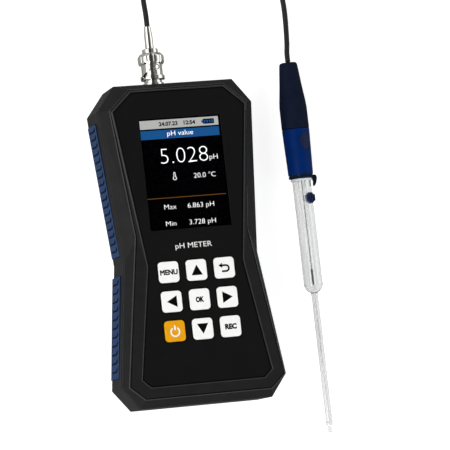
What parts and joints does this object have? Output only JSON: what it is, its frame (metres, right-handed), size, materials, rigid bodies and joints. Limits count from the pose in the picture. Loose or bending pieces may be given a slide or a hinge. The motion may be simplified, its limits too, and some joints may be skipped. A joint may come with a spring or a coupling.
{
  "type": "ph meter",
  "caption": "Hand-held pH meter with a waisted case, colour display, square keys and side grips, with a glass electrode on a coiled lead.",
  "frame": {"origin": "middle of the meter's flat back face", "axes": "+Z out of the display face, +Y from the keypad end to the connector end, +X to the right of someone reading the display"},
  "size_m": [0.125, 0.2955, 0.0324],
  "materials": {
    "casing": "fine moulded texture, charcoal",
    "overlay": "printed film, matte black",
    "grip": "moulded soft rubber, steel blue",
    "screen": "clear window over a dark display",
    "tin": "tinned sheet",
    "mat": "silicone",
    "electronics": "solder mask",
    "battery": "foil pouch",
    "nickel": "bright nickel plate",
    "ptfe": "fluoropolymer",
    "gold": "gold plate",
    "seal_rubber": "silicone seal",
    "cable": "soft jacket, dark grey",
    "tie": "nylon strap",
    "navy": "satin moulded plastic, near-black navy",
    "cap_blue": "satin moulded plastic, deep blue",
    "silicone": "translucent silicone",
    "glass": "clear lab glass",
    "silver": "silver wire, chloride coated",
    "stopper": "blue-grey rubber",
    "steel": "black zinc",
    "white_key": "satin white",
    "orange_key": "satin amber"
  },
  "bodies": {
    "meter": {"front_cover": "casing", "rear_cover": "casing", "face_overlay": "overlay", "display_window": "screen", "display_module": "tin", "keypad_mat": "mat", "main_board": "electronics", "battery_pack": "battery", "shield_can": "tin", "usb_socket": "tin", "bnc_jack": "nickel", "jack_insulator": "ptfe", "jack_contact": "gold", "jack_washer": "nickel", "jack_nut": "nickel", "jack_lead": "cable", "grip_right_upper": "grip", "grip_right_lower": "grip", "grip_left_upper": "grip", "grip_left_lower": "grip", "case_screw_1": "steel", "case_screw_2": "steel", "case_screw_3": "steel", "case_screw_4": "steel", "board_screw_1": "steel", "board_screw_2": "steel", "board_screw_3": "steel", "board_screw_4": "steel"},
    "key_menu": {"key_menu": "white_key"},
    "key_up": {"key_up": "white_key"},
    "key_back": {"key_back": "white_key"},
    "key_left": {"key_left": "white_key"},
    "key_ok": {"key_ok": "white_key"},
    "key_right": {"key_right": "white_key"},
    "key_power": {"key_power": "orange_key"},
    "key_down": {"key_down": "white_key"},
    "key_rec": {"key_rec": "white_key"},
    "probe_lead": {"plug_body": "nickel", "plug_gasket": "seal_rubber", "plug_insulator": "ptfe", "plug_pin": "gold", "crimp_sleeve": "nickel", "cable_meter_end": "cable", "cable_coil": "cable", "cable_probe_end": "cable", "cable_tie": "tie", "cap_sleeve": "navy", "electrode_cap": "cap_blue", "cap_badge": "navy", "cap_ring": "navy", "tube_collar": "silicone", "glass_body": "glass", "inner_tube": "glass", "membrane_tip": "glass", "measuring_wire": "silver", "reference_wire": "silver"},
    "coupling_nut": {"coupling_nut": "nickel"},
    "refill_stopper": {"refill_stopper": "stopper"}
  },
  "joints": [
    {"name": "key_menu_press", "type": "slide", "parent": "meter", "child": "key_menu", "axis": [0, 0, -1], "range_m": [0, 0.0008], "stiffness_N_per_m": 600},
    {"name": "key_up_press", "type": "slide", "parent": "meter", "child": "key_up", "axis": [0, 0, -1], "range_m": [0, 0.0008], "stiffness_N_per_m": 600},
    {"name": "key_back_press", "type": "slide", "parent": "meter", "child": "key_back", "axis": [0, 0, -1], "range_m": [0, 0.0008], "stiffness_N_per_m": 600},
    {"name": "key_left_press", "type": "slide", "parent": "meter", "child": "key_left", "axis": [0, 0, -1], "range_m": [0, 0.0008], "stiffness_N_per_m": 600},
    {"name": "key_ok_press", "type": "slide", "parent": "meter", "child": "key_ok", "axis": [0, 0, -1], "range_m": [0, 0.0008], "stiffness_N_per_m": 600},
    {"name": "key_right_press", "type": "slide", "parent": "meter", "child": "key_right", "axis": [0, 0, -1], "range_m": [0, 0.0008], "stiffness_N_per_m": 600},
    {"name": "key_power_press", "type": "slide", "parent": "meter", "child": "key_power", "axis": [0, 0, -1], "range_m": [0, 0.0008], "stiffness_N_per_m": 600},
    {"name": "key_down_press", "type": "slide", "parent": "meter", "child": "key_down", "axis": [0, 0, -1], "range_m": [0, 0.0008], "stiffness_N_per_m": 600},
    {"name": "key_rec_press", "type": "slide", "parent": "meter", "child": "key_rec", "axis": [0, 0, -1], "range_m": [0, 0.0008], "stiffness_N_per_m": 600},
    {"name": "plug_slide", "type": "slide", "parent": "meter", "child": "probe_lead", "axis": [0, 1, 0], "range_m": [0, 0.005]},
    {"name": "nut_turn", "type": "hinge", "parent": "probe_lead", "child": "coupling_nut", "pos_m": [-0.0074, 0.0956, 0.0145], "axis": [0, 1, 0], "range_deg": [0, 90]},
    {"name": "stopper_pull", "type": "slide", "parent": "probe_lead", "child": "refill_stopper", "axis": [0.2675, -0.0235, 0.9633], "range_m": [0, 0.006]}
  ],
  "couplings": [
    {"joint": "nut_turn", "follows": "plug_slide", "rad_per_m": 314}
  ]
}
